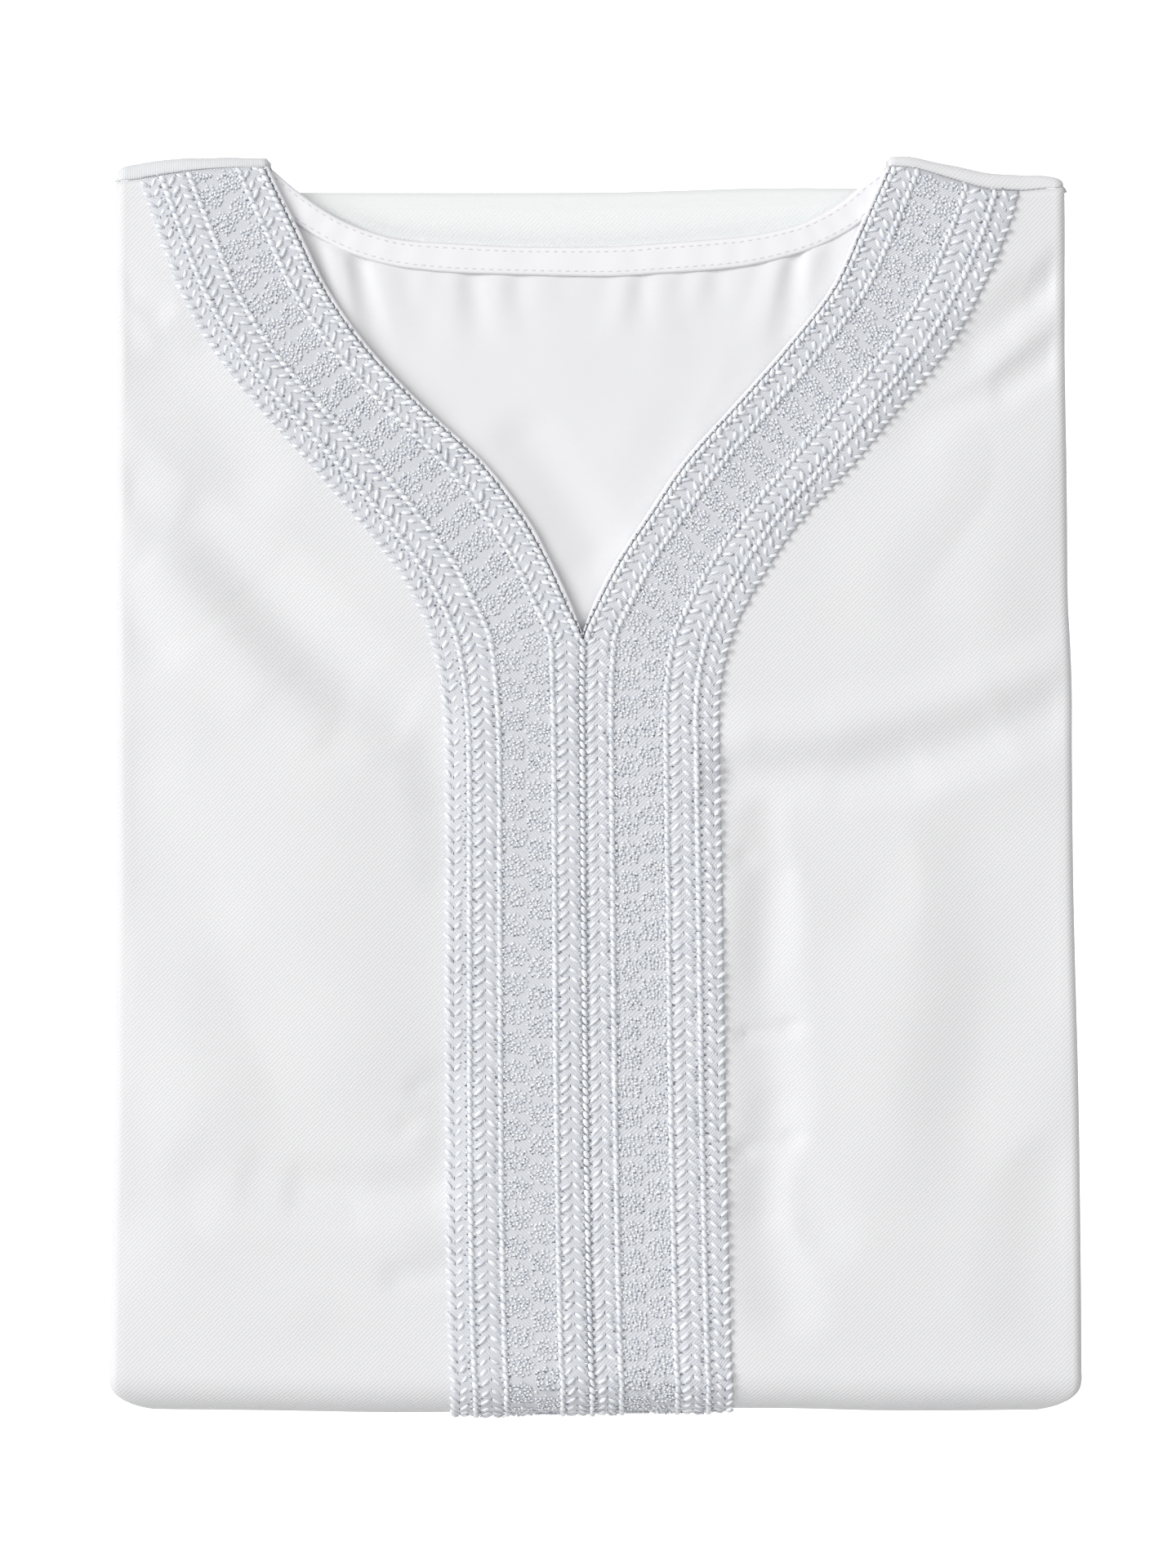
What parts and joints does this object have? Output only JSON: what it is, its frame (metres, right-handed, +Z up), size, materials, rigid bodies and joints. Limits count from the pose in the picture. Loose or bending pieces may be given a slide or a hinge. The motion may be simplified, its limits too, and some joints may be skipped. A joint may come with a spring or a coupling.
{
  "type": "thobe robe",
  "caption": "White thobe robe folded flat into a pile, with a V neck edged by a wide silver embroidered band that runs down the front as a placket.",
  "frame": {"origin": "centre of the pile's footprint, on the surface that it lies on", "axes": "+X to the viewer's right across the shoulders, +Y from the bottom fold towards the neck, +Z up out of the front of the robe"},
  "size_m": [0.2978, 0.3865, 0.0254],
  "materials": {
    "white_twill": "fine diagonal twill, soft sheen",
    "white_twill_inner_face": "inner face of the twill, matt",
    "white_facing_twill": "pressed twill strip, matt",
    "white_rolled_edging": "rolled fine cloth, smooth",
    "silver_embroidery": "silver-lavender thread, satin sheen"
  },
  "bodies": {
    "root": {"front_panel": "white_twill", "back_panel": "white_twill_inner_face", "back_neck_facing": "white_facing_twill", "left_shoulder_strip": "white_twill", "right_shoulder_strip": "white_twill", "left_neck_edging": "white_rolled_edging", "right_neck_edging": "white_rolled_edging", "left_embroidered_band": "silver_embroidery", "right_embroidered_band": "silver_embroidery", "folded_layers": "white_twill"}
  },
  "joints": []
}
